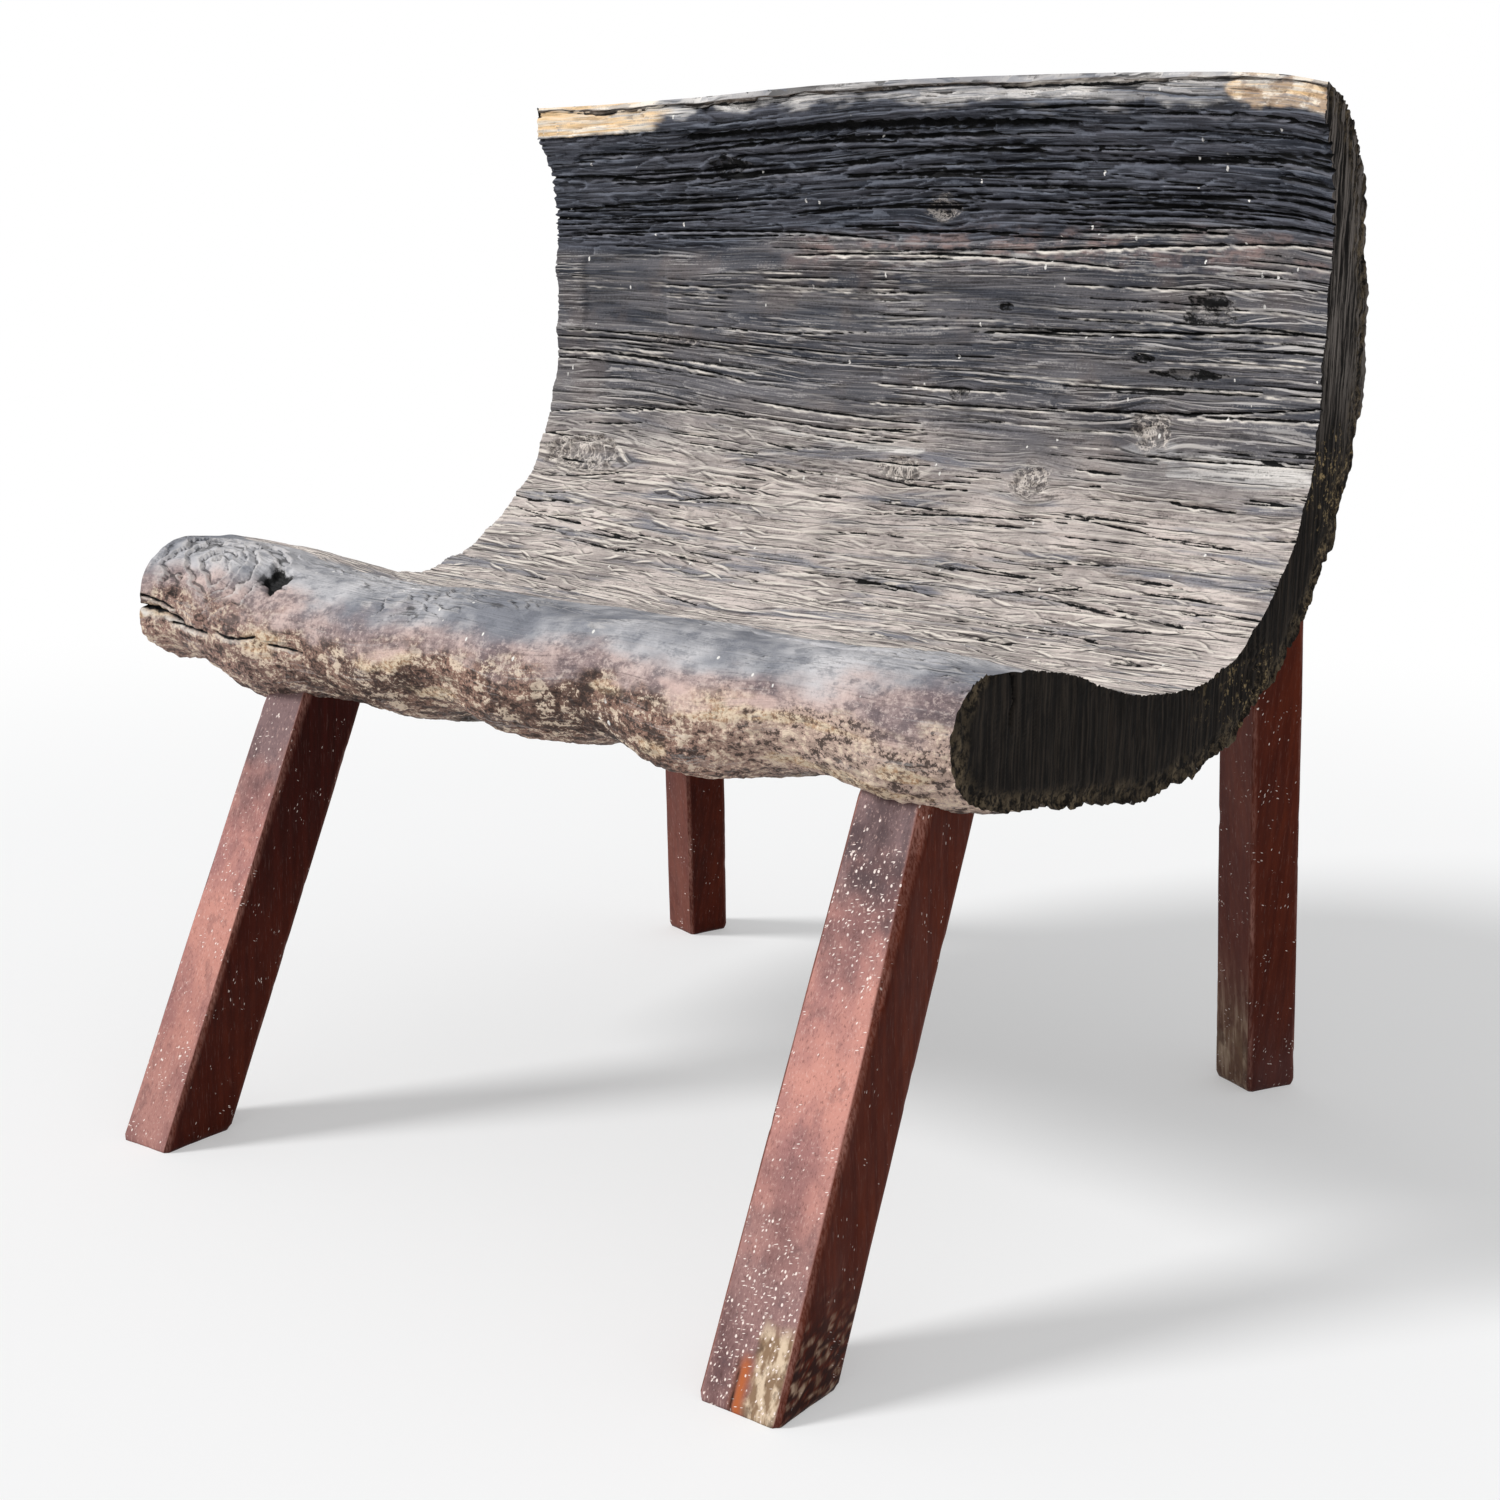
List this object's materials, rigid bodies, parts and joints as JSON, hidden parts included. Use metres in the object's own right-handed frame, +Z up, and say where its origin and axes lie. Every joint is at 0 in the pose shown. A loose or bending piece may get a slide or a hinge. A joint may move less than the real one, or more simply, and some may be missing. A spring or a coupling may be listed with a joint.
{
  "type": "birthing chair",
  "caption": "Low rustic chair: seat and back hewn in one piece from a hollow trunk, on raked square wooden legs tenoned into its underside.",
  "frame": {"origin": "on the floor, under the centre of the box round the whole chair", "axes": "+Z up; X along the log and its grain, with +X at the sitter's left hand; the sitter faces -Y"},
  "size_m": [0.7, 0.6764, 0.727],
  "materials": {
    "weathered_log": "matt, weathered grey-brown and charcoal with open grain and cracks; bark-brown lip and underside",
    "leg_wood": "dark red-brown, worn semi-gloss with pale scratches"
  },
  "bodies": {
    "root": {"seat_log": "weathered_log", "front_left_leg": "leg_wood", "front_right_leg": "leg_wood", "rear_left_leg": "leg_wood", "rear_right_leg": "leg_wood"}
  },
  "joints": []
}
